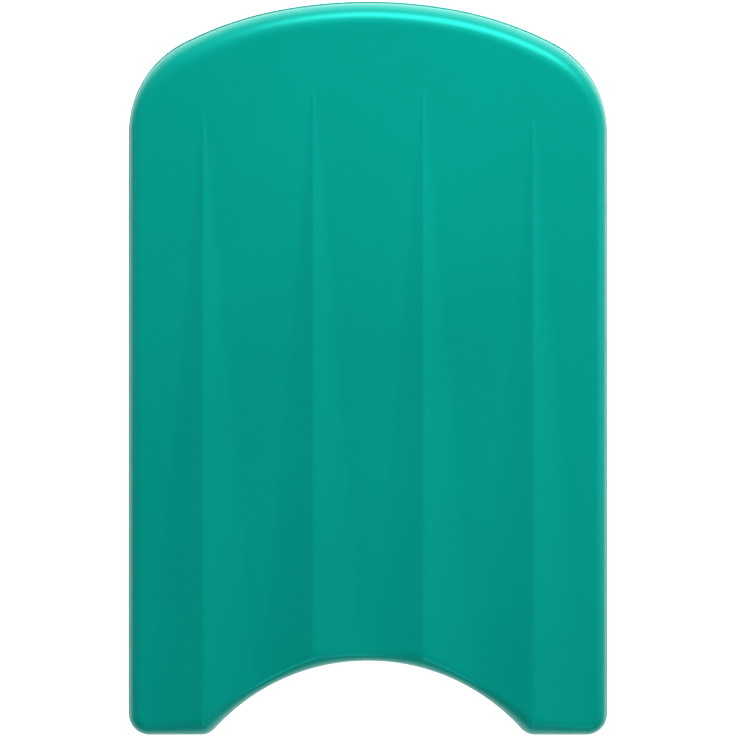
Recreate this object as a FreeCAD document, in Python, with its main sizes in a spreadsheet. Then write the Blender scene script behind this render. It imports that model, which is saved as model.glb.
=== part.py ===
"""Kickboard float: a flat foam board that a swimmer holds out in front.

The board lies flat with its ridged deck up. X is its width, +Y points to the rounded nose, +Z is up, and
the origin is on the underside, below the middle of the board's box. All sizes are in millimetres.

It is four separate pieces. Two sheets of closed-cell foam, core_lower and core_upper, are bonded face to
face. Two moulded skins, base_skin and deck_skin, close over them and are welded together along a thin
seam lip that runs round the edge of the board. The deck skin carries four low keels, which start as
points behind the nose and grow wider and taller towards the tail. The tail has a round notch that leaves
two feet.
"""

import FreeCAD, Part
import Sketcher
import math
import os

os.makedirs("parts", exist_ok=True)
doc = FreeCAD.newDocument("kickboard_float")

# ---------------------------------------------------------------- driving dimensions

SIZES = [
    ("board_length", 460),
    ("board_width", 300),
    ("board_thickness", 32),
    ("seam_height", 16),
    ("lip_reach", 1.0),
    ("lip_half_thickness", 0.8),
    ("skin_thickness", 2),
    ("nose_radius", 297.5),
    ("nose_flank_radius", 219.7),
    ("nose_flank_angle", 11.3),
    ("shoulder_radius", 62.9),
    ("notch_radius", 130.2),
    ("notch_depth", 46.4),
    ("foot_outer_radius", 13),
    ("foot_inner_radius", 11),
    ("side_rounding", 8),
    ("nose_rounding", 15),
    ("base_rounding", 8),
    ("keel_pitch", 68.5),
    ("keel_height", 7),
    ("keel_half_width", 36.5),
    ("keel_crest_radius", 4),
    ("keel_root_depth", 10),
    ("keel_setback", 1.5),
    ("inner_keel_tip", 53.5),
    ("outer_keel_tip", 71),
    ("keel_tip_scale", 0.035),
    ("overrun", 10),
]

sheet = doc.addObject("Spreadsheet::Sheet", "Sizes")
for row, (name, value) in enumerate(SIZES, start=1):
    sheet.set(f"A{row}", name)
    sheet.set(f"B{row}", str(value))
    sheet.setAlias(f"B{row}", name)
doc.recompute()


def size(name):
    """The value of one cell, for the starting guess that a sketch is solved from."""
    return float(sheet.get(name))


# ---------------------------------------------------------------- sketches


def bound(sketch, constraint, expression):
    """Adds a dimension to the sketch and ties it to the sheet."""
    index = sketch.addConstraint(constraint)
    sketch.setExpression(f"Constraints[{index}]", expression)


def origin_plane(body, role):
    return next(f for f in body.Origin.OriginFeatures if f.Role == role)


def value_of(expression):
    """The number that an expression on the sheet comes to."""
    return float(sheet.evalExpression(expression))


def new_sketch(body, name, role):
    sketch = body.newObject("Sketcher::SketchObject", name)
    sketch.AttachmentSupport = [(origin_plane(body, role), "")]
    sketch.MapMode = "FlatFace"
    return sketch


def arc(centre, radius, start, end):
    """A counterclockwise arc between two angles in radians."""
    circle = Part.Circle(FreeCAD.Vector(*centre, 0), FreeCAD.Vector(0, 0, 1), radius)
    return Part.ArcOfCircle(circle, start, end)


def line(start, end):
    return Part.LineSegment(FreeCAD.Vector(*start, 0), FreeCAD.Vector(*end, 0))


def outline_geometry(inset):
    """The board's outline, moved in by inset, as fourteen tangent lines and arcs, counterclockwise."""
    half_width = size("board_width") / 2 - inset
    nose_y = size("board_length") / 2 - inset
    foot_y = -size("board_length") / 2 + inset
    nose_r = size("nose_radius") - inset
    flank_r = size("nose_flank_radius") - inset
    shoulder_r = size("shoulder_radius") - inset
    outer_r = size("foot_outer_radius") - inset
    inner_r = size("foot_inner_radius") - inset
    notch_r = size("notch_radius") + inset
    up = math.pi / 2
    flank = up - math.radians(size("nose_flank_angle"))

    nose_c = (0, nose_y - nose_r)
    flank_c = (
        (nose_r - flank_r) * math.cos(flank),
        nose_c[1] + (nose_r - flank_r) * math.sin(flank),
    )
    shoulder_x = half_width - shoulder_r
    across = shoulder_x - flank_c[0]
    along = math.sqrt((flank_r - shoulder_r) ** 2 - across**2)
    shoulder_c = (shoulder_x, flank_c[1] + along)
    turn = math.atan2(along, across)

    outer_c = (half_width - outer_r, foot_y + outer_r)
    notch_c = (0, -size("board_length") / 2 + size("notch_depth") - size("notch_radius"))
    rise = foot_y + inner_r - notch_c[1]
    inner_x = math.sqrt((notch_r + inner_r) ** 2 - rise**2)
    inner_c = (inner_x, foot_y + inner_r)
    mouth = math.atan2(rise, inner_x)

    def mirrored(centre):
        return (-centre[0], centre[1])

    return [
        line((half_width, outer_c[1]), (half_width, shoulder_c[1])),
        arc(shoulder_c, shoulder_r, 0, turn),
        arc(flank_c, flank_r, turn, flank),
        arc(nose_c, nose_r, flank, math.pi - flank),
        arc(mirrored(flank_c), flank_r, math.pi - flank, math.pi - turn),
        arc(mirrored(shoulder_c), shoulder_r, math.pi - turn, math.pi),
        line((-half_width, shoulder_c[1]), (-half_width, outer_c[1])),
        arc(mirrored(outer_c), outer_r, math.pi, 3 * up),
        line((-outer_c[0], foot_y), (-inner_x, foot_y)),
        arc(mirrored(inner_c), inner_r, 3 * up, 4 * up - mouth),
        arc(notch_c, notch_r, mouth, math.pi - mouth),
        arc(inner_c, inner_r, math.pi + mouth, 3 * up),
        line((inner_x, foot_y), (outer_c[0], foot_y)),
        arc(outer_c, outer_r, 3 * up, 4 * up),
    ]


(
    RIGHT_SIDE,
    RIGHT_SHOULDER,
    RIGHT_FLANK,
    NOSE,
    LEFT_FLANK,
    LEFT_SHOULDER,
    LEFT_SIDE,
    LEFT_OUTER,
    LEFT_FOOT,
    LEFT_INNER,
    NOTCH,
    RIGHT_INNER,
    RIGHT_FOOT,
    RIGHT_OUTER,
) = range(14)
START, END, CENTRE = 1, 2, 3
ORIGIN = (-1, 1)
X_AXIS, Y_AXIS = -1, -2


def outline_sketch(body, name, insets):
    """The board's outline on the body's XY plane, moved in by the sum of the named sizes."""
    inset = "(" + " + ".join(["0"] + [f"Sizes.{alias}" for alias in insets]) + ")"
    moved = sum(size(alias) for alias in insets)
    sketch = new_sketch(body, name, "XY_Plane")
    sketch.addGeometry(outline_geometry(moved), False)

    chain = list(range(14))
    for this, following in zip(chain, chain[1:] + chain[:1]):
        leave = START if this == NOTCH else END
        enter = END if following == NOTCH else START
        sketch.addConstraint(Sketcher.Constraint("Tangent", this, leave, following, enter))
    for side in (RIGHT_SIDE, LEFT_SIDE):
        sketch.addConstraint(Sketcher.Constraint("Vertical", side))
    for foot in (RIGHT_FOOT, LEFT_FOOT):
        sketch.addConstraint(Sketcher.Constraint("Horizontal", foot))
    for centred in (NOSE, NOTCH):
        sketch.addConstraint(Sketcher.Constraint("PointOnObject", centred, CENTRE, Y_AXIS))
    for left, right in (
        (LEFT_FLANK, RIGHT_FLANK),
        (LEFT_SHOULDER, RIGHT_SHOULDER),
        (LEFT_OUTER, RIGHT_OUTER),
        (LEFT_INNER, RIGHT_INNER),
    ):
        sketch.addConstraint(Sketcher.Constraint("Equal", left, right))

    for curve, expression in (
        (NOSE, f"Sizes.nose_radius - {inset}"),
        (RIGHT_FLANK, f"Sizes.nose_flank_radius - {inset}"),
        (RIGHT_SHOULDER, f"Sizes.shoulder_radius - {inset}"),
        (RIGHT_OUTER, f"Sizes.foot_outer_radius - {inset}"),
        (RIGHT_INNER, f"Sizes.foot_inner_radius - {inset}"),
        (NOTCH, f"Sizes.notch_radius + {inset}"),
    ):
        radius = sketch.Geometry[curve].Radius
        bound(sketch, Sketcher.Constraint("Radius", curve, radius), expression)

    half_width = f"(Sizes.board_width / 2 - {inset})"
    foot_y = f"(-Sizes.board_length / 2 + {inset})"
    joint = f"(Sizes.nose_radius - {inset}) * sin(Sizes.nose_flank_angle)"
    notch_centre = "-Sizes.board_length / 2 + Sizes.notch_depth - Sizes.notch_radius"
    for kind, curve, point, expression in (
        ("DistanceX", RIGHT_SIDE, START, half_width),
        ("DistanceX", LEFT_SIDE, START, f"-{half_width}"),
        ("DistanceY", RIGHT_FOOT, START, foot_y),
        ("DistanceY", LEFT_FOOT, START, foot_y),
        ("DistanceY", NOSE, CENTRE, "Sizes.board_length / 2 - Sizes.nose_radius"),
        ("DistanceX", NOSE, START, joint),
        ("DistanceX", NOSE, END, f"-{joint}"),
        ("DistanceY", NOTCH, CENTRE, notch_centre),
    ):
        at = sketch.getPoint(curve, point)
        now = at.x if kind == "DistanceX" else at.y
        bound(sketch, Sketcher.Constraint(kind, *ORIGIN, curve, point, now), expression)
    return sketch


# ---------------------------------------------------------------- slabs


def slab(name, insets, low, high):
    """A straight-sided pad of the outline between two heights, both given as expressions."""
    body = doc.addObject("PartDesign::Body", name)
    body.setExpression("Placement.Base.z", low)
    sketch = outline_sketch(body, f"{name}_outline", insets)
    pad = body.newObject("PartDesign::Pad", f"{name}_pad")
    pad.Profile = sketch
    pad.setExpression("Length", f"({high}) - ({low})")
    sketch.Visibility = False
    doc.recompute()
    return body


def edge_roundings(shape, inset, base):
    """The rounding along each top and bottom edge, as (edge number, start radius, end radius).

    The top is rounded most round the nose, and that fades along the shoulders to the sides' rounding. An
    inner form lies a skin's thickness inside the outer one, so its roundings are smaller by inset. The
    bottom is rounded by base, and stays square where that is None.
    """
    nose = size("nose_rounding") - inset
    side = size("side_rounding") - inset
    right_side, right_shoulder = outline_geometry(0)[RIGHT_SIDE : RIGHT_SHOULDER + 1]
    side_end = right_side.EndPoint.y
    shoulder_end = right_shoulder.EndPoint.y
    slack = size("overrun") / 2
    roundings = []
    for number, edge in enumerate(shape.Edges, start=1):
        box = edge.BoundBox
        is_upright = box.ZLength > slack
        is_bottom = box.ZMax < shape.BoundBox.ZMin + slack
        if is_upright or (is_bottom and base is None):
            continue
        if is_bottom:
            radii = (base, base)
        elif box.YMin > shoulder_end - slack:
            radii = (nose, nose)
        elif box.YMin > side_end - slack:
            ends = (edge.valueAt(edge.FirstParameter), edge.valueAt(edge.LastParameter))
            radii = tuple(side if end.y < side_end + slack else nose for end in ends)
        else:
            radii = (side, side)
        roundings.append((number, *radii))
    return roundings


def rounded_slab(name, insets, low, high, inset, base):
    """A slab of the outline with its top edges rounded, and its bottom ones too unless base is None."""
    body = slab(name + "_blank", insets, low, high)
    rounded = doc.addObject("Part::Fillet", name)
    rounded.Base = body
    rounded.Edges = edge_roundings(body.Shape, inset, base)
    return rounded


# ---------------------------------------------------------------- keels


def keel_section(body, name, x, y, share, drop):
    """A keel's cross-section, share of full size, on the upright plane at y.

    Two hollow flanks rise from the deck, level where they leave it, and meet in a small round crest. Below
    the deck the section goes straight down, so that the keel is rooted in the slab.
    """
    sketch = new_sketch(body, name, "XZ_Plane")
    sketch.setExpression("AttachmentOffset.Base.z", f"-({y})")
    sketch.setExpression("AttachmentOffset.Base.x", x)
    sketch.setExpression("AttachmentOffset.Base.y", f"Sizes.board_thickness - ({drop})")

    scale = value_of(share)
    half, tall, crest_r, root = (
        scale * size(alias)
        for alias in ("keel_half_width", "keel_height", "keel_crest_radius", "keel_root_depth")
    )
    flank_r = (half**2 + tall**2) / (2 * tall) - crest_r
    lean = math.atan2(flank_r - tall + crest_r, half)
    sketch.addGeometry(
        [
            line((-half, -root), (half, -root)),
            line((half, -root), (half, 0)),
            arc((half, flank_r), flank_r, math.pi + lean, 1.5 * math.pi),
            arc((0, tall - crest_r), crest_r, lean, math.pi - lean),
            arc((-half, flank_r), flank_r, 1.5 * math.pi, 2 * math.pi - lean),
            line((-half, 0), (-half, -root)),
        ],
        False,
    )
    base, right, right_flank, crest, left_flank, left = range(6)
    for kind, *what in (
        ("Coincident", base, END, right, START),
        ("Coincident", right, END, right_flank, END),
        ("Tangent", right_flank, START, crest, START),
        ("Tangent", crest, END, left_flank, END),
        ("Coincident", left_flank, START, left, START),
        ("Coincident", left, END, base, START),
        ("Horizontal", base),
        ("Vertical", right),
        ("Vertical", left),
        ("Vertical", right_flank, CENTRE, right, END),
        ("Vertical", left_flank, CENTRE, left, START),
        ("PointOnObject", crest, CENTRE, Y_AXIS),
        ("PointOnObject", right, END, X_AXIS),
        ("PointOnObject", left, START, X_AXIS),
    ):
        sketch.addConstraint(Sketcher.Constraint(kind, *what))
    for constraint, expression in (
        (("DistanceX", *ORIGIN, right, START, half), f"Sizes.keel_half_width * ({share})"),
        (("DistanceX", *ORIGIN, left, START, -half), f"-Sizes.keel_half_width * ({share})"),
        (("DistanceY", right, START, right, END, root), f"Sizes.keel_root_depth * ({share})"),
        (("Radius", crest, crest_r), f"Sizes.keel_crest_radius * ({share})"),
        (
            ("DistanceY", *ORIGIN, crest, CENTRE, tall - crest_r),
            f"(Sizes.keel_height - Sizes.keel_crest_radius) * ({share})",
        ),
    ):
        bound(sketch, Sketcher.Constraint(*constraint), expression)
    return sketch


def keel(name, x, tip_gap, drop):
    """One keel, lofted from a small section at its tip to a large one just past the tail."""
    tip_y = f"Sizes.board_length / 2 - Sizes.{tip_gap}"
    end_y = "-Sizes.board_length / 2 - Sizes.overrun"
    full_run = f"(Sizes.board_length - Sizes.{tip_gap})"
    end_share = f"1 + (1 - Sizes.keel_tip_scale) * Sizes.overrun / {full_run}"
    body = doc.addObject("PartDesign::Body", name)
    tip = keel_section(body, f"{name}_tip", x, tip_y, "Sizes.keel_tip_scale", drop)
    end = keel_section(body, f"{name}_end", x, end_y, end_share, drop)
    loft = body.newObject("PartDesign::AdditiveLoft", f"{name}_loft")
    loft.Profile = tip
    loft.Sections = [end]
    loft.Ruled = True
    tip.Visibility = False
    end.Visibility = False
    return body


def ridged_form(name, insets, low, drop):
    """A rounded slab with four keels on its deck, which is drop lower than the finished deck.

    The keels are trimmed a little inside the slab's edge, and their ends are rounded over like the edge.
    """
    shrink = sum(size(alias) for alias in insets if alias == "skin_thickness")
    deck = f"Sizes.board_thickness - ({drop})"
    base = size("base_rounding") - shrink
    board = rounded_slab(f"{name}_slab", insets, low, deck, shrink, base)
    limit = rounded_slab(
        f"{name}_limit",
        insets + ["keel_setback"],
        "Sizes.seam_height",
        f"{deck} + Sizes.keel_height",
        shrink + size("keel_setback"),
        None,
    )
    keels = doc.addObject("Part::MultiFuse", f"{name}_keels")
    keels.Shapes = [
        keel(f"{name}_{where}_keel", f"{steps} * Sizes.keel_pitch", f"{where[-5:]}_keel_tip", drop)
        for where, steps in KEELS
    ]
    trimmed = boolean("Part::Common", f"{name}_trimmed_keels", keels, limit)
    return boolean("Part::Fuse", name, board, trimmed)


KEELS = (
    ("left_outer", -1.5),
    ("left_inner", -0.5),
    ("right_inner", 0.5),
    ("right_outer", 1.5),
)


# ---------------------------------------------------------------- the four pieces


def boolean(kind, name, base, tool):
    result = doc.addObject(kind, name)
    result.Base = base
    result.Tool = tool
    return result


def half_space(name, low, high):
    """A block wider than the board, between two heights, that keeps one side of the seam."""
    block = doc.addObject("Part::Box", name)
    for prop, expression in (
        ("Length", "Sizes.board_width + 2 * Sizes.overrun"),
        ("Width", "Sizes.board_length + 2 * Sizes.overrun"),
        ("Height", f"({high}) - ({low})"),
        ("Placement.Base.x", "-Sizes.board_width / 2 - Sizes.overrun"),
        ("Placement.Base.y", "-Sizes.board_length / 2 - Sizes.overrun"),
        ("Placement.Base.z", low),
    ):
        block.setExpression(prop, expression)
    return block


outer = ridged_form("outer_form", ["lip_reach"], "0", "0")
inner = ridged_form(
    "core_form", ["lip_reach", "skin_thickness"], "Sizes.skin_thickness", "Sizes.skin_thickness"
)
lip = slab(
    "seam_lip",
    [],
    "Sizes.seam_height - Sizes.lip_half_thickness",
    "Sizes.seam_height + Sizes.lip_half_thickness",
)
shell = boolean("Part::Fuse", "lipped_form", outer, lip)
above = half_space(
    "above_seam",
    "Sizes.seam_height",
    "Sizes.board_thickness + Sizes.keel_height + Sizes.overrun",
)
below = half_space("below_seam", "-Sizes.overrun", "Sizes.seam_height")

deck_half = boolean("Part::Common", "deck_half", shell, above)
base_half = boolean("Part::Common", "base_half", shell, below)
PIECES = [
    boolean("Part::Cut", "deck_skin", deck_half, inner),
    boolean("Part::Common", "core_upper", inner, above),
    boolean("Part::Common", "core_lower", inner, below),
    boolean("Part::Cut", "base_skin", base_half, inner),
]
doc.recompute()

# ---------------------------------------------------------------- checks and export

failed = [o.Name for o in doc.Objects if "Invalid" in o.State or "Error" in o.State]
if failed:
    raise RuntimeError(f"these objects failed: {failed}")
for piece in PIECES:
    shape = piece.Shape
    if shape.isNull() or not shape.isValid() or len(shape.Solids) != 1:
        raise RuntimeError(f"{piece.Label} is not one valid solid")
for piece in PIECES:
    piece.Shape.exportStep(f"parts/{piece.Label}.step")
    box = piece.Shape.BoundBox
    print(
        f"{piece.Label}: {piece.Shape.Volume / 1000:.1f} cm3,"
        f" {box.XLength:.1f} x {box.YLength:.1f} x {box.ZLength:.1f} mm, z from {box.ZMin:.1f}"
    )
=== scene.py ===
"""The looks of the kickboard float: its moulded skins, their materials, and a plain studio.

Both skins are closed shells. Each is a grid of points over the board's outline, whose columns line up
with the crests of the keels, with its edge rounded over and run down to the welded seam lip.
"""

import math

import bpy
import numpy as np
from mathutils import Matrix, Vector


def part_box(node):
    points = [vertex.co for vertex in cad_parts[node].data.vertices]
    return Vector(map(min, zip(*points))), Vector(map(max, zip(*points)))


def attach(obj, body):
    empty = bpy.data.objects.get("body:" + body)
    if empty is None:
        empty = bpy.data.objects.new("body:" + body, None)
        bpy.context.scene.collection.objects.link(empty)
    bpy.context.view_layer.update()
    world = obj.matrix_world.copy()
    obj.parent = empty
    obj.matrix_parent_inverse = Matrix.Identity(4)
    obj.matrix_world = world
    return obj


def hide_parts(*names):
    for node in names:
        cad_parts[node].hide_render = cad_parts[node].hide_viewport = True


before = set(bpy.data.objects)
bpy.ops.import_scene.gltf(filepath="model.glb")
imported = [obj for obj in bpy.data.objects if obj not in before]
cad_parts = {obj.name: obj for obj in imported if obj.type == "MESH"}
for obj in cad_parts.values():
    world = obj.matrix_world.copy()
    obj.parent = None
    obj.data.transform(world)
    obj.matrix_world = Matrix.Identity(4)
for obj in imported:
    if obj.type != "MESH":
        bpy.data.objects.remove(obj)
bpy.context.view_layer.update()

# ---------------------------------------------------------------- sizes, in metres

MM = 0.001
deck_low, deck_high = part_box("deck_skin")

HALF_WIDTH = deck_high.x
HALF_LENGTH = deck_high.y
SEAM = deck_low.z
KEEL_HEIGHT = 7 * MM
DECK = deck_high.z - KEEL_HEIGHT
LIP_REACH = 1 * MM
SKIN = 2 * MM

# The lip's section, from the wall to the seam: the share of its reach, and millimetres from the seam.
LIP_SECTION = (
    (0, 3.4),
    (0, 2.6),
    (0, 2.0),
    (0.08, 1.5),
    (0.3, 1.12),
    (0.62, 0.95),
    (0.86, 0.82),
    (1, 0.5),
    (1, 0),
)

NOSE_R = 297.5 * MM
FLANK_R = 219.7 * MM
FLANK_ANGLE = math.radians(11.3)
SHOULDER_R = 62.9 * MM
NOTCH_R = 130.2 * MM
NOTCH_DEPTH = 46.4 * MM
FOOT_OUTER_R = 13 * MM
FOOT_INNER_R = 11 * MM

NOSE_ROUNDING = 15 * MM
SIDE_ROUNDING = 7.5 * MM
NOTCH_ROUNDING = 6 * MM
BASE_ROUNDING = 8 * MM
KEEL_END_GAIN = 0.6

# Keels lie one and three half pitches each side of the middle, and their tips are set back from the nose.
KEEL_STEPS = (-3, -1, 1, 3)
KEEL_PITCH = 68.5 * MM
KEEL_HALF_WIDTH = 36.5 * MM
KEEL_TIPS = {1: 53.5 * MM, 3: 71 * MM}
KEEL_TIP_SCALE = 0.035
KEEL_TIP_FADE = 9 * MM
KEEL_HOLLOW = 1.4
KEEL_CREST_SOFTNESS = 0.035
KEEL_MERGE = 6

# Spacings of the grid, and how far from a crest or an end the fine ones reach.
COARSE_ACROSS = 1.5 * MM
COARSE_ALONG = 1.8 * MM
CREST_SPACING, CREST_REACH = 0.35 * MM, 3 * MM
SIDE_SPACING, SIDE_REACH = 0.12 * MM, 2.5 * MM
BEND_SPACING, BEND_REACH = 0.5 * MM, 10 * MM
END_SPACING, TAIL_REACH, NOSE_REACH = 0.35 * MM, 10 * MM, 14 * MM
CREST_ZONE = 1.55 * KEEL_PITCH
WALL_SHARES = (0.33, 0.66)

WEAR_REACH = 6 * MM
TINY_LENGTH = 1e-9
TINY_ANGLE = 1e-6
NO_LENGTH = 1e-12

CAMERA_DISTANCE = 2.5
FRAME_MARGIN = 1.004
SENSOR_WIDTH = 36

# ---------------------------------------------------------------- colours, linear

TEAL_DEEP = (0.0006, 0.176, 0.140, 1)
TEAL_LIGHT = (0.0006, 0.190, 0.152, 1)
TEAL_SPECK = (0.0006, 0.160, 0.127, 1)
TEAL_RUBBED = (0.010, 0.235, 0.195, 1)
TEAL_GLINT = (0.02, 1.0, 0.86, 1)
# The foam's cell colour is painted shade for the hollows of its cells; the wall colour is the foam's own
# off-white.
FOAM_CELL_SHADE = (0.70, 0.71, 0.67, 1)
FOAM_WALL = (0.84, 0.85, 0.81, 1)
FOAM_AGED = (0.78, 0.77, 0.70, 1)
WHITE = (1, 1, 1, 1)


def smooth(x):
    """0 to 1 with level ends."""
    x = np.clip(x, 0, 1)
    return x * x * (3 - 2 * x)


# ---------------------------------------------------------------- the outline


def outline(inset):
    """The right half of the outline, moved in by inset, from the nose to the notch.

    Each arc is (centre, radius, first angle, last angle, first rounding, last rounding). The straight side
    and the foot are (first point, last point, rounding).
    """
    nose_r, flank_r, shoulder_r = NOSE_R - inset, FLANK_R - inset, SHOULDER_R - inset
    outer_r, inner_r, notch_r = FOOT_OUTER_R - inset, FOOT_INNER_R - inset, NOTCH_R + inset
    half, foot = HALF_WIDTH - inset, -HALF_LENGTH + inset
    flank = math.pi / 2 - FLANK_ANGLE
    nose_c = np.array([0, HALF_LENGTH - NOSE_R])
    flank_c = nose_c + (nose_r - flank_r) * np.array([math.cos(flank), math.sin(flank)])
    across = half - shoulder_r - flank_c[0]
    along = math.sqrt((flank_r - shoulder_r) ** 2 - across**2)
    shoulder_c = np.array([half - shoulder_r, flank_c[1] + along])
    turn = math.atan2(along, across)
    outer_c = np.array([half - outer_r, foot + outer_r])
    notch_c = np.array([0, -HALF_LENGTH + NOTCH_DEPTH - NOTCH_R])
    rise = foot + inner_r - notch_c[1]
    inner_x = math.sqrt((notch_r + inner_r) ** 2 - rise**2)
    inner_c = np.array([inner_x, foot + inner_r])
    mouth = math.atan2(rise, inner_x)
    n, s, t = NOSE_ROUNDING, SIDE_ROUNDING, NOTCH_ROUNDING
    return {
        "nose": (nose_c, nose_r, math.pi / 2, flank, n, n),
        "flank": (flank_c, flank_r, flank, turn, n, n),
        "shoulder": (shoulder_c, shoulder_r, turn, 0, n, s),
        "side": (np.array([half, shoulder_c[1]]), np.array([half, outer_c[1]]), s),
        "outer": (outer_c, outer_r, 0, -math.pi / 2, s, s),
        "foot": (np.array([outer_c[0], foot]), np.array([inner_x, foot]), s),
        "inner": (inner_c, inner_r, -math.pi / 2, mouth - math.pi, s, t),
        "notch": (notch_c, notch_r, mouth, math.pi / 2, t, t),
    }


def top_of(shape, x):
    """The nose edge's y at each |x|."""
    x = np.abs(x)
    y = np.full_like(x, shape["side"][0][1])
    for name in ("shoulder", "flank", "nose"):
        centre, radius, first, last = shape[name][:4]
        low = centre[0] + radius * math.cos(first)
        inside = x <= centre[0] + radius * math.cos(last) + TINY_LENGTH
        curve = centre[1] + np.sqrt(np.maximum(radius**2 - (x - centre[0]) ** 2, 0))
        y = np.where(inside & (x >= low - TINY_LENGTH), curve, y)
    return y


def bottom_of(shape, x):
    """The tail edge's y at each |x|."""
    x = np.abs(x)
    notch_c, notch_r = shape["notch"][:2]
    inner_c, inner_r = shape["inner"][:2]
    outer_c, outer_r = shape["outer"][:2]
    joint = notch_c[0] + notch_r * math.cos(shape["notch"][2])
    y = np.full_like(x, shape["foot"][0][1])
    y = np.where(
        x < inner_c[0], inner_c[1] - np.sqrt(np.maximum(inner_r**2 - (x - inner_c[0]) ** 2, 0)), y
    )
    y = np.where(x < joint, notch_c[1] + np.sqrt(np.maximum(notch_r**2 - x**2, 0)), y)
    corner = outer_c[1] - np.sqrt(np.maximum(outer_r**2 - (x - outer_c[0]) ** 2, 0))
    return np.where(x > outer_c[0], corner, y)


def edge_distance(shape, x, y):
    """How far each point is inside the outline, and the rounding radius of the edge nearest to it."""
    x = np.abs(x)
    best, rounding = np.full(x.shape, np.inf), np.full(x.shape, SIDE_ROUNDING)
    for name, stretch in shape.items():
        if len(stretch) == 3:
            first, last, radius = stretch
            run = last - first
            share = ((x - first[0]) * run[0] + (y - first[1]) * run[1]) / (run @ run)
            held = np.clip(share, 0, 1)
            away = np.hypot(x - first[0] - held * run[0], y - first[1] - held * run[1])
            here = np.full(x.shape, radius)
        else:
            centre, r, first, last, r_first, r_last = stretch
            angle = np.arctan2(y - centre[1], x - centre[0])
            if name == "notch":
                away = np.hypot(x - centre[0], y - centre[1]) - r
                within = (angle >= first) & (angle <= math.pi)
                away = np.where(within, np.abs(away), np.inf)
            else:
                away = np.abs(r - np.hypot(x - centre[0], y - centre[1]))
                low, high = min(first, last), max(first, last)
                within = (angle >= low - TINY_ANGLE) & (angle <= high + TINY_ANGLE)
                away = np.where(within, away, np.inf)
            here = r_first + (r_last - r_first) * smooth((angle - first) / (last - first))
        nearer = away < best
        best, rounding = np.where(nearer, away, best), np.where(nearer, here, rounding)
    return best, rounding


# ---------------------------------------------------------------- heights


def keel_height(x, y):
    """How far the keels stand above the deck."""
    total = np.zeros(x.shape)
    for steps in KEEL_STEPS:
        tip = HALF_LENGTH - KEEL_TIPS[abs(steps)]
        run = tip - y
        share = KEEL_TIP_SCALE + (1 - KEEL_TIP_SCALE) * np.maximum(run, 0) / (tip + HALF_LENGTH)
        across = np.abs(x - steps * KEEL_PITCH / 2) / (KEEL_HALF_WIDTH * share)
        soft = KEEL_CREST_SOFTNESS
        across = (np.sqrt(across**2 + soft**2) - soft) / (math.sqrt(1 + soft**2) - soft)
        height = KEEL_HEIGHT * share * np.clip(1 - across, 0, None) ** KEEL_HOLLOW
        total += (height * smooth(run / KEEL_TIP_FADE)) ** KEEL_MERGE
    return total ** (1 / KEEL_MERGE)


def rounded(distance, radius):
    """How far a quarter-round edge has dropped at each distance from the edge."""
    inside = np.clip(radius - distance, 0, radius)
    return radius - np.sqrt(np.maximum(radius**2 - inside**2, 0))


def deck_surface(shape, x, y, drop):
    """The deck's height, lower by drop."""
    distance, radius = edge_distance(shape, x, y)
    keels = keel_height(x, y)
    radius = radius - drop + KEEL_END_GAIN * keels
    return DECK - drop + keels - rounded(distance, radius)


def base_surface(shape, x, y, drop):
    """The underside's height, higher by drop."""
    distance, _ = edge_distance(shape, x, y)
    return drop + rounded(distance, BASE_ROUNDING - drop)


# ---------------------------------------------------------------- meshes


def spread(length, coarse, ends):
    """Places from 0 to length, about coarse apart, and finer near each (place, spacing, reach)."""
    fine = np.linspace(0, length, 4000)
    density = np.full(fine.shape, 1 / coarse)
    for place, spacing, reach in ends:
        near = np.exp(-(((fine - place) / reach) ** 2))
        density = np.maximum(density, near / spacing)
    count = np.concatenate([[0], np.cumsum((density[1:] + density[:-1]) / 2 * np.diff(fine))])
    steps = max(4, int(round(count[-1])))
    return np.interp(np.linspace(0, count[-1], steps + 1), count, fine)


def columns(half, detail):
    """The grid's columns across the board. A column lies on every crest."""
    inner, outer = KEEL_PITCH / 2, 1.5 * KEEL_PITCH
    margin = half - outer
    crest = (CREST_SPACING * detail, CREST_REACH)
    side = (margin, SIDE_SPACING * detail, SIDE_REACH)
    bend = (margin, BEND_SPACING, BEND_REACH)
    coarse = COARSE_ACROSS * detail
    middle = spread(inner, coarse, [(inner, *crest)])
    between = inner + spread(outer - inner, coarse, [(0, *crest), (outer - inner, *crest)])
    beside = outer + spread(margin, coarse, [(0, *crest), side, bend])
    right = np.concatenate([middle, between[1:], beside[1:]])
    return np.concatenate([-right[:0:-1], right])


def rows(detail):
    """The grid's rows as shares of the board's length, close together at the tail and the nose."""
    run = 2 * HALF_LENGTH
    tail = (0, END_SPACING * detail, TAIL_REACH)
    nose = (run, END_SPACING * detail, NOSE_REACH)
    return spread(run, COARSE_ALONG * detail, [tail, nose]) / run


def grid(inset, detail, surface, drop):
    """The surface as an array of points, rows by columns by 3."""
    shape = outline(inset)
    half = HALF_WIDTH - inset
    full = columns(HALF_WIDTH, detail)
    x = np.where(np.abs(full) < CREST_ZONE, full, full * half / HALF_WIDTH)
    y_low, y_high = bottom_of(shape, x), top_of(shape, x)
    share = rows(detail)[:, None]
    y = y_low + (y_high - y_low) * share
    x = np.broadcast_to(x, y.shape)
    return np.stack([x, y, surface(shape, x, y, drop)], axis=-1)


def rim_of(points):
    """The (row, column) of each point round the grid's edge, counterclockwise from above."""
    tall, wide = points.shape[:2]
    around = [(0, c) for c in range(wide)]
    around += [(r, wide - 1) for r in range(1, tall)]
    around += [(tall - 1, c) for c in range(wide - 2, -1, -1)]
    around += [(r, 0) for r in range(tall - 2, 0, -1)]
    return around


def outward(rim_points):
    """The level outward direction at each point round an edge."""
    along = np.roll(rim_points, -1, axis=0) - np.roll(rim_points, 1, axis=0)
    normal = np.stack([along[:, 1], -along[:, 0]], axis=-1)
    return normal / np.maximum(np.linalg.norm(normal, axis=1, keepdims=True), NO_LENGTH)


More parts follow.
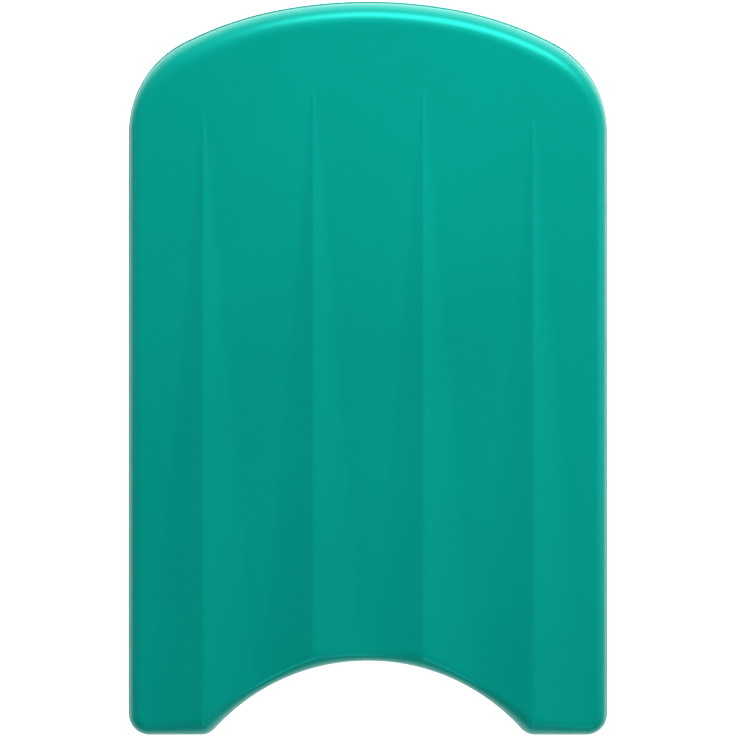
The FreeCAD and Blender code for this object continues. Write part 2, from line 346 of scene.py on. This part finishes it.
def lip_profile(is_deck):
    """The wall's way to the seam, as (reach outwards, height)."""
    up = MM if is_deck else -MM
    return [(share * LIP_REACH, SEAM + up * away) for share, away in LIP_SECTION]


def shell(name, is_deck, detail):
    """One moulded skin as a closed mesh: its outer face, wall and lip, the seam face, and its inside."""
    surface = deck_surface if is_deck else base_surface
    outside = grid(LIP_REACH, detail, surface, 0)
    inside = grid(LIP_REACH + SKIN, detail, surface, SKIN)
    tall, wide = outside.shape[:2]
    around = rim_of(outside)
    index = np.arange(tall * wide).reshape(tall, wide)
    rim = np.array([index[rc] for rc in around])
    size = tall * wide
    outer_rim = outside.reshape(-1, 3)[rim]
    inner_rim = inside.reshape(-1, 3)[rim]
    away = outward(outer_rim)

    profile = lip_profile(is_deck)
    rings = []
    for share in WALL_SHARES:
        ring = outer_rim.copy()
        ring[:, 2] += (profile[0][1] - ring[:, 2]) * share
        rings.append(ring)
    for reach, height in profile:
        ring = outer_rim.copy()
        ring[:, :2] += away * reach
        ring[:, 2] = height
        rings.append(ring)
    seam_inside = inner_rim.copy()
    seam_inside[:, 2] = SEAM
    rings.append(seam_inside)

    points = np.concatenate([outside.reshape(-1, 3), inside.reshape(-1, 3), *rings])
    quad = np.stack([index[:-1, :-1], index[:-1, 1:], index[1:, 1:], index[1:, :-1]], axis=-1)
    quad = quad.reshape(-1, 4)
    faces = [quad, quad[:, ::-1] + size]
    loops = [rim] + [2 * size + k * len(rim) + np.arange(len(rim)) for k in range(len(rings))]
    loops.append(rim + size)
    for upper, lower in zip(loops, loops[1:]):
        faces.append(np.stack([upper, lower, np.roll(lower, -1), np.roll(upper, -1)], axis=-1))
    faces = np.concatenate(faces)
    if not is_deck:
        faces = faces[:, ::-1]

    mesh = bpy.data.meshes.new(name)
    mesh.from_pydata(points.tolist(), [], faces.tolist())
    mesh.validate()
    mesh.shade_smooth()
    wear = mesh.attributes.new("wear", "FLOAT", "POINT")
    wear.data.foreach_set("value", edge_wear(points, len(rim), size).astype(np.float32))
    piece = bpy.data.objects.new(name, mesh)
    bpy.context.scene.collection.objects.link(piece)
    return piece


def edge_wear(points, rim_count, size):
    """1 where hands and the poolside rub the board, on its rounded edge, and 0 elsewhere."""
    wear = np.zeros(len(points))
    distance, _ = edge_distance(outline(LIP_REACH), points[:size, 0], points[:size, 1])
    wear[:size] = 1 - smooth(distance / WEAR_REACH)
    wear[2 * size :] = 1
    return wear


# ---------------------------------------------------------------- materials


class Nodes:
    """A material's node tree, with a short way to add and join nodes."""

    def __init__(self, name):
        self.material = bpy.data.materials.new(name)
        self.material.use_nodes = True
        self.tree = self.material.node_tree
        self.shader = self.tree.nodes["Principled BSDF"]

    def add(self, kind, inputs=(), **settings):
        node = self.tree.nodes.new(kind)
        for key, value in settings.items():
            setattr(node, key, value)
        for key, value in dict(inputs).items():
            if isinstance(value, bpy.types.NodeSocket):
                self.tree.links.new(value, node.inputs[key])
            else:
                node.inputs[key].default_value = value
        return node

    def noise(self, where, scale, detail=3.0, roughness=0.5):
        inputs = {"Vector": where, "Scale": scale, "Detail": detail, "Roughness": roughness}
        return self.add("ShaderNodeTexNoise", inputs).outputs["Fac"]

    def remap(self, value, low, high, to_low=0.0, to_high=1.0):
        inputs = {0: value, 1: low, 2: high, 3: to_low, 4: to_high}
        return self.add("ShaderNodeMapRange", inputs, clamp=True).outputs[0]

    def combine(self, operation, first, second):
        return self.add("ShaderNodeMath", {0: first, 1: second}, operation=operation).outputs[0]

    def mix(self, factor, first, second):
        node = self.add("ShaderNodeMix", data_type="RGBA")
        for key, value in ((0, factor), (6, first), (7, second)):
            if isinstance(value, bpy.types.NodeSocket):
                self.tree.links.new(value, node.inputs[key])
            else:
                node.inputs[key].default_value = value
        return node.outputs[2]

    def bump(self, height, strength, distance, normal=None):
        inputs = {"Height": height, "Strength": strength, "Distance": distance}
        if normal is not None:
            inputs["Normal"] = normal
        return self.add("ShaderNodeBump", inputs).outputs["Normal"]

    def join(self, output, key):
        self.tree.links.new(output, self.shader.inputs[key])


def skin_material():
    """Smooth moulded foam skin: satin teal, fine grain, faint clouding, and a rubbed edge."""
    nodes = Nodes("moulded_skin")
    where = nodes.add("ShaderNodeTexCoord").outputs["Object"]
    cloud = nodes.remap(nodes.noise(where, scale=9, detail=4), 0.3, 0.7)
    speck = nodes.remap(nodes.noise(where, scale=420, detail=2), 0.35, 0.65)
    rub = nodes.add("ShaderNodeAttribute", attribute_name="wear").outputs["Fac"]
    patch = nodes.remap(nodes.noise(where, scale=34, detail=5, roughness=0.6), 0.5, 0.72)
    worn = nodes.combine("MULTIPLY", rub, patch)

    body = nodes.mix(cloud, TEAL_DEEP, TEAL_LIGHT)
    body = nodes.mix(nodes.remap(speck, 0, 1, 0, 0.16), body, TEAL_SPECK)
    colour = nodes.mix(nodes.remap(worn, 0, 1, 0, 0.22), body, TEAL_RUBBED)
    nodes.join(colour, "Base Color")

    gloss = nodes.remap(cloud, 0, 1, 0.32, 0.37)
    gloss = nodes.combine("ADD", gloss, nodes.remap(worn, 0, 1, 0, 0.12))
    nodes.join(gloss, "Roughness")

    swell = nodes.bump(nodes.noise(where, scale=26, detail=2), 0.10, 0.6 * MM)
    grain = nodes.bump(nodes.noise(where, scale=900, roughness=0.6), 0.12, 0.06 * MM, swell)
    nodes.join(grain, "Normal")
    nodes.shader.inputs["IOR"].default_value = 1.46
    nodes.shader.inputs["Specular Tint"].default_value = TEAL_GLINT
    return nodes.material


def core_material():
    """Closed-cell foam, sawn from sheet: off-white with fine cells, each cell's hollow darkened with
    painted shade.
    """
    nodes = Nodes("closed_cell_foam")
    where = nodes.add("ShaderNodeTexCoord").outputs["Object"]
    cells = nodes.add("ShaderNodeTexVoronoi", {"Vector": where, "Scale": 700.0}).outputs["Distance"]
    shade = nodes.remap(cells, 0, 0.9)
    cloud = nodes.noise(where, scale=14)
    # Painted shade: each cell is darker towards its middle, where its hollow lies, and lighter at its
    # walls.
    colour = nodes.mix(shade, FOAM_CELL_SHADE, FOAM_WALL)
    colour = nodes.mix(nodes.remap(cloud, 0.3, 0.7, 0, 0.2), colour, FOAM_AGED)
    nodes.join(colour, "Base Color")
    nodes.join(nodes.remap(cloud, 0, 1, 0.82, 0.95), "Roughness")
    nodes.join(nodes.bump(cells, 0.6, 0.3 * MM), "Normal")
    return nodes.material


def floor_material():
    """A white studio table, lit through, so that the board casts hardly any shadow on it."""
    nodes = Nodes("white_table")
    where = nodes.add("ShaderNodeTexCoord").outputs["Object"]
    fleck = nodes.remap(nodes.noise(where, scale=60), 0.3, 0.7, 0.93, 0.96)
    white = nodes.add("ShaderNodeCombineColor", {0: fleck, 1: fleck, 2: fleck}).outputs[0]
    nodes.join(white, "Base Color")
    nodes.shader.inputs["Roughness"].default_value = 0.9
    nodes.shader.inputs["Emission Color"].default_value = WHITE
    nodes.shader.inputs["Emission Strength"].default_value = 0.6
    return nodes.material


# ---------------------------------------------------------------- the studio


def floor():
    """A large round table, level with the board's underside."""
    count, radius, edge = 96, 2.4, 0.02
    turns = [2 * math.pi * k / count for k in range(count)]
    top = [(radius * math.cos(a), radius * math.sin(a), 0) for a in turns]
    low = [(x * (1 + edge), y * (1 + edge), -edge) for x, y, _ in top]
    sides = [(k, count + k, count + (k + 1) % count, (k + 1) % count) for k in range(count)]
    mesh = bpy.data.meshes.new("studio_table")
    mesh.from_pydata(top + low, [], [tuple(range(count)), *sides])
    table = bpy.data.objects.new("studio_table", mesh)
    mesh.materials.append(floor_material())
    bpy.context.scene.collection.objects.link(table)


def softbox(name, place, target, width, height, watts):
    """A soft rectangular light at place, aimed at target."""
    light = bpy.data.lights.new(name, "AREA")
    light.shape = "RECTANGLE"
    light.size, light.size_y = width, height
    light.energy = watts
    lamp = bpy.data.objects.new(name, light)
    lamp.location = place
    lamp.rotation_euler = (Vector(target) - Vector(place)).to_track_quat("-Z", "Y").to_euler()
    bpy.context.scene.collection.objects.link(lamp)


def studio():
    """A long soft key past the nose and a little to the right, and weak fills at the tail and sides."""
    middle, nose_half, tail_half = (0, 0, DECK), (0, 0.05, DECK), (0, -0.15, DECK)
    softbox("key_past_nose", (0.22, 1.05, 0.62), nose_half, width=0.9, height=0.35, watts=30)
    softbox("fill_past_tail", (0.05, -0.95, 0.75), tail_half, width=0.8, height=0.3, watts=5)
    softbox("fill_right", (1.1, 0.1, 0.7), middle, width=0.5, height=0.9, watts=5)
    softbox("fill_left", (-1.1, 0.1, 0.7), middle, width=0.5, height=0.9, watts=2)
    world = bpy.data.worlds.new("studio_room")
    world.use_nodes = True
    background = world.node_tree.nodes["Background"]
    background.inputs["Color"].default_value = WHITE
    background.inputs["Strength"].default_value = 0.35
    bpy.context.scene.world = world


def camera():
    """Straight down on the deck through a long lens, with the nose at the top of the picture."""
    view_width = 2 * HALF_LENGTH * FRAME_MARGIN
    data = bpy.data.cameras.new("camera")
    data.sensor_width = SENSOR_WIDTH
    data.lens = SENSOR_WIDTH * CAMERA_DISTANCE / view_width
    data.clip_end = 20
    eye = bpy.data.objects.new("camera", data)
    eye.location = (0, 0, SEAM + CAMERA_DISTANCE)
    bpy.context.scene.collection.objects.link(eye)
    bpy.context.scene.camera = eye
    bpy.context.scene.view_settings.view_transform = "Standard"
    bpy.context.scene.view_settings.look = "None"


# ---------------------------------------------------------------- the object

skin = skin_material()
for piece_name, node, is_deck, detail in (
    ("deck_skin_moulding", "deck_skin", True, 1.0),
    ("base_skin_moulding", "base_skin", False, 1.6),
):
    moulding = shell(piece_name, is_deck, detail)
    moulding.data.materials.append(skin)
    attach(moulding, "root")
    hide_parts(node)

foam = core_material()
for node in ("core_upper", "core_lower"):
    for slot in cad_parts[node].material_slots:
        slot.material = foam

floor()
studio()
camera()
